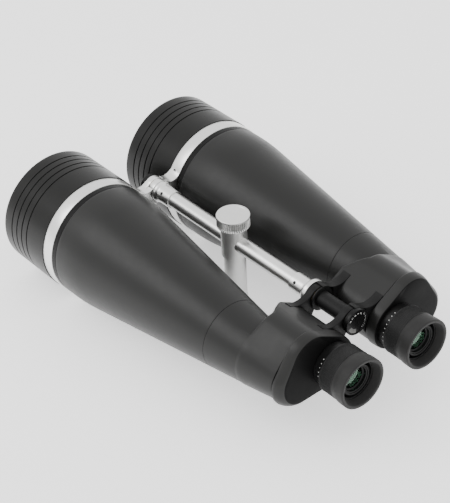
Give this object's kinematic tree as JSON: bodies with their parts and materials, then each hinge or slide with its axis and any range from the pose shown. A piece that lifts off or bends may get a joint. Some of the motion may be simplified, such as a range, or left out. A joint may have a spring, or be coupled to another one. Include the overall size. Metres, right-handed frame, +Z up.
{
  "type": "giant astronomy binoculars",
  "caption": "Giant Porro-prism astronomy binoculars: tapered barrels hinged on a bright rod, with a sliding tripod post, clamp knob and individually focused eyepieces.",
  "frame": {"origin": "mouth of the tripod socket, in the middle of the underside of the post's foot", "axes": "+Y forward along the barrels to the objectives, +X to the user's right, +Z up from the foot to the clamp knob"},
  "size_m": [0.2588, 0.3919, 0.115],
  "materials": {
    "barrel_paint": "satin charcoal paint, very smooth",
    "shield_black": "semi-gloss black anodising",
    "bright_aluminium": "satin clear anodised",
    "hinge_black": "semi-matte black paint",
    "inner_black": "flat black",
    "eyepiece_black": "satin black anodising",
    "knurled_black": "black, fine diamond knurl",
    "eyecup_rubber": "soft matt rubber",
    "dial_black": "gloss black with white scale",
    "dark_screw": "black oxide",
    "insert_steel": "turned",
    "spring_steel": "rolled strip",
    "cast_shelf": "as cast",
    "washer_brass": "plain",
    "pad_nylon": "plain",
    "coated_glass": "polished, multi-coated",
    "prism_glass": "polished, edges ground"
  },
  "bodies": {
    "centre": {"rod": "bright_aluminium", "front_cap": "hinge_black", "front_sleeve": "bright_aluminium", "rear_sleeve": "bright_aluminium", "hinge_shaft": "hinge_black", "thrust_washers": "washer_brass", "ipd_dial": "dial_black", "sleeve_set_screws": "dark_screw"},
    "left_barrel": {"left_dew_shield": "shield_black", "left_lens_cell": "inner_black", "left_lens_ring": "inner_black", "left_crown_lens": "coated_glass", "left_flint_lens": "coated_glass", "left_front_ring": "bright_aluminium", "left_ring_screw": "dark_screw", "left_lock_ring": "shield_black", "left_objective_tube": "barrel_paint", "left_prism_housing": "barrel_paint", "left_front_arm": "hinge_black", "left_rear_arm": "hinge_black", "left_prism_shelf": "cast_shelf", "left_front_prism": "prism_glass", "left_rear_prism": "prism_glass", "left_prism_clips": "spring_steel", "left_back_cover": "barrel_paint", "left_eyepiece_base": "eyepiece_black"},
    "right_barrel": {"right_dew_shield": "shield_black", "right_lens_cell": "inner_black", "right_lens_ring": "inner_black", "right_crown_lens": "coated_glass", "right_flint_lens": "coated_glass", "right_front_ring": "bright_aluminium", "right_ring_screw": "dark_screw", "right_lock_ring": "shield_black", "right_objective_tube": "barrel_paint", "right_prism_housing": "barrel_paint", "right_front_arm": "hinge_black", "right_rear_arm": "hinge_black", "right_prism_shelf": "cast_shelf", "right_front_prism": "prism_glass", "right_rear_prism": "prism_glass", "right_prism_clips": "spring_steel", "right_back_cover": "barrel_paint", "right_eyepiece_base": "eyepiece_black"},
    "tripod_post": {"tripod_post": "bright_aluminium", "thread_insert": "insert_steel"},
    "clamp_pad": {"pressure_pad": "pad_nylon"},
    "clamp_knob": {"clamp_screw": "insert_steel", "clamp_knob": "bright_aluminium"},
    "left_eyepiece": {"left_eyepiece_tube": "eyepiece_black", "left_field_lens": "coated_glass", "left_eye_lens": "coated_glass"},
    "left_focus_ring": {"left_focus_ring": "knurled_black", "left_eyecup": "eyecup_rubber"},
    "right_eyepiece": {"right_eyepiece_tube": "eyepiece_black", "right_field_lens": "coated_glass", "right_eye_lens": "coated_glass"},
    "right_focus_ring": {"right_focus_ring": "knurled_black", "right_eyecup": "eyecup_rubber"}
  },
  "joints": [
    {"name": "left_hinge", "type": "hinge", "parent": "centre", "child": "left_barrel", "pos_m": [0, 0, 0.0786], "axis": [0, -1, 0], "range_deg": [0, 22]},
    {"name": "right_hinge", "type": "hinge", "parent": "centre", "child": "right_barrel", "pos_m": [0, 0, 0.0786], "axis": [0, 1, 0], "range_deg": [0, 22]},
    {"name": "post_slide", "type": "slide", "parent": "centre", "child": "tripod_post", "axis": [0, -1, 0], "range_m": [-0.015, 0.065]},
    {"name": "clamp_lift", "type": "slide", "parent": "tripod_post", "child": "clamp_pad", "axis": [0, 0, 1], "range_m": [0, 0.0013]},
    {"name": "clamp_turn", "type": "hinge", "parent": "clamp_pad", "child": "clamp_knob", "pos_m": [0, 0, 0.09], "axis": [0, 0, 1], "range_deg": [0, 360]},
    {"name": "left_focus_travel", "type": "slide", "parent": "left_barrel", "child": "left_eyepiece", "axis": [0, -1, 0], "range_m": [-0.0025, 0.0025]},
    {"name": "left_focus_turn", "type": "hinge", "parent": "left_eyepiece", "child": "left_focus_ring", "pos_m": [-0.0373, -0.19, 0.0611], "axis": [0, -1, 0], "range_deg": [-151, 151]},
    {"name": "right_focus_travel", "type": "slide", "parent": "right_barrel", "child": "right_eyepiece", "axis": [0, -1, 0], "range_m": [-0.0025, 0.0025]},
    {"name": "right_focus_turn", "type": "hinge", "parent": "right_eyepiece", "child": "right_focus_ring", "pos_m": [0.0373, -0.19, 0.0611], "axis": [0, -1, 0], "range_deg": [-151, 151]}
  ],
  "couplings": [
    {"joint": "right_hinge", "follows": "left_hinge", "ratio": 1},
    {"joint": "clamp_lift", "follows": "clamp_turn", "m_per_rad": 0.00019894},
    {"joint": "left_focus_turn", "follows": "left_focus_travel", "rad_per_m": 1047.2},
    {"joint": "right_focus_turn", "follows": "right_focus_travel", "rad_per_m": 1047.2}
  ]
}
